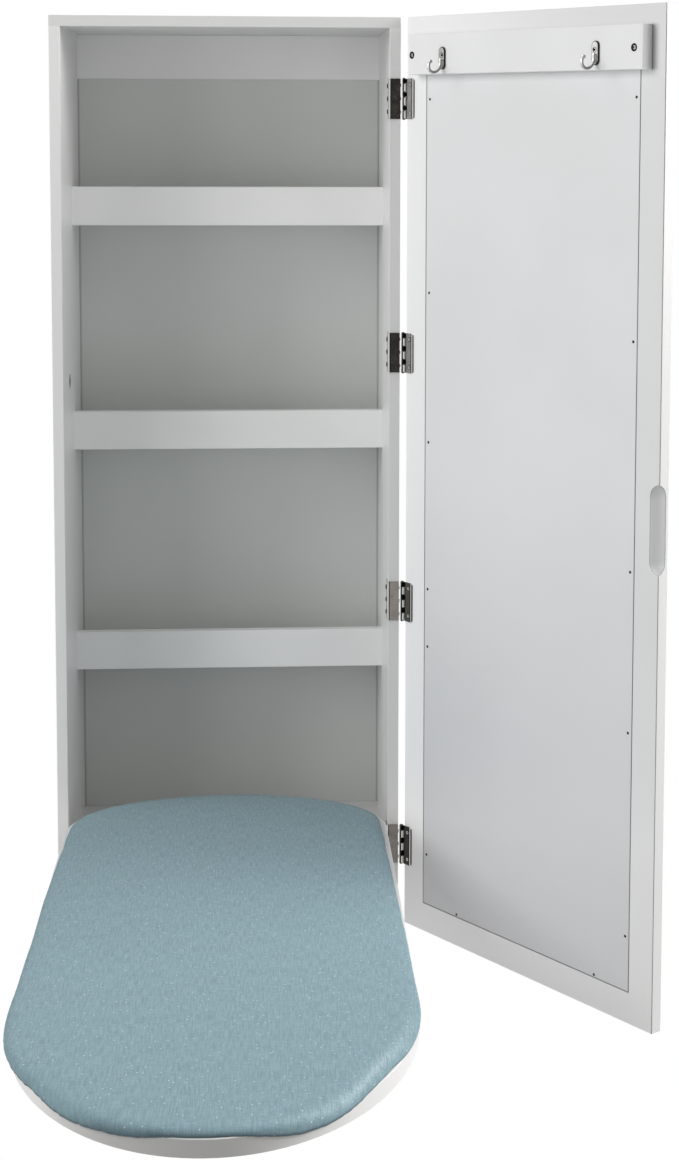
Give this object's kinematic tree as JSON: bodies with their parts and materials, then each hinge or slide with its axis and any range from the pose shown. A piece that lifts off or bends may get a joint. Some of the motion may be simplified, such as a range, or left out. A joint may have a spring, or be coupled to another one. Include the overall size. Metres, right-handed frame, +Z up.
{
  "type": "mirrored ironing board cabinet",
  "caption": "Wall-hung cabinet with a hinged mirror door, shelves behind retaining rails, coat hooks inside the door, and a padded ironing board that folds down out of it.",
  "frame": {"origin": "middle of the hanging rail's rear face, on the wall plane, half way across the cabinet", "axes": "+X to the right seen from the front, +Y from the front edges to the wall, +Z up"},
  "size_m": [0.6242, 1.0192, 1.016],
  "materials": {
    "white_paint": "satin white paint on fibreboard",
    "back_board": "thin white foil-faced hardboard",
    "door_back_board": "matt white hardboard",
    "mirror": "silvered float glass",
    "satin_nickel": "satin nickel plate",
    "hook_chrome": "bright nickel plate",
    "pad_cover": "woven cotton cover with fine slub, over felt",
    "black_rubber": "moulded rubber",
    "nylon": "moulded nylon",
    "brass": "turned brass",
    "zinc_steel": "bright zinc plate"
  },
  "bodies": {
    "cabinet": {"left_side_panel": "white_paint", "right_side_panel": "white_paint", "top_panel": "white_paint", "bottom_deck": "white_paint", "front_rail": "white_paint", "back_panel": "back_board", "hanging_rail": "white_paint", "lower_wall_rail": "white_paint", "shelf_1": "white_paint", "shelf_2": "white_paint", "shelf_3": "white_paint", "shelf_rail_1": "white_paint", "shelf_rail_2": "white_paint", "shelf_rail_3": "white_paint", "carcass_screws": "zinc_steel", "keyhole_plates": "zinc_steel", "keyhole_plate_screws": "zinc_steel", "rest_pads": "black_rubber", "pivot_bush_left": "nylon", "pivot_bush_right": "nylon", "catch_strike": "zinc_steel", "frame_leaf_1": "satin_nickel", "frame_leaf_2": "satin_nickel", "frame_leaf_3": "satin_nickel", "frame_leaf_4": "satin_nickel", "hinge_frame_screws": "satin_nickel", "hinge_pins": "satin_nickel"},
    "door": {"door_frame": "white_paint", "mirror_glass": "mirror", "door_backing_panel": "door_back_board", "backing_brads": "zinc_steel", "door_leaf_1": "satin_nickel", "door_leaf_2": "satin_nickel", "door_leaf_3": "satin_nickel", "door_leaf_4": "satin_nickel", "hinge_door_screws": "satin_nickel", "hook_rail": "white_paint", "hook_rail_screws": "zinc_steel", "coat_hook_left": "hook_chrome", "coat_hook_right": "hook_chrome", "coat_hook_screws": "hook_chrome"},
    "board": {"board_core": "white_paint", "ironing_pad": "pad_cover", "board_bracket_left": "zinc_steel", "board_bracket_right": "zinc_steel", "bracket_screws": "zinc_steel", "pivot_rod": "zinc_steel", "ball_catch": "brass"}
  },
  "joints": [
    {"name": "door_swing", "type": "hinge", "parent": "cabinet", "child": "door", "pos_m": [0.1941, -0.22157, -0.47], "axis": [0, 0, 1], "range_deg": [-38.4, 53.6]},
    {"name": "board_fold", "type": "hinge", "parent": "cabinet", "child": "board", "pos_m": [0, -0.176, -0.8882], "axis": [-1, 0, 0], "range_deg": [0, 88.5]}
  ]
}
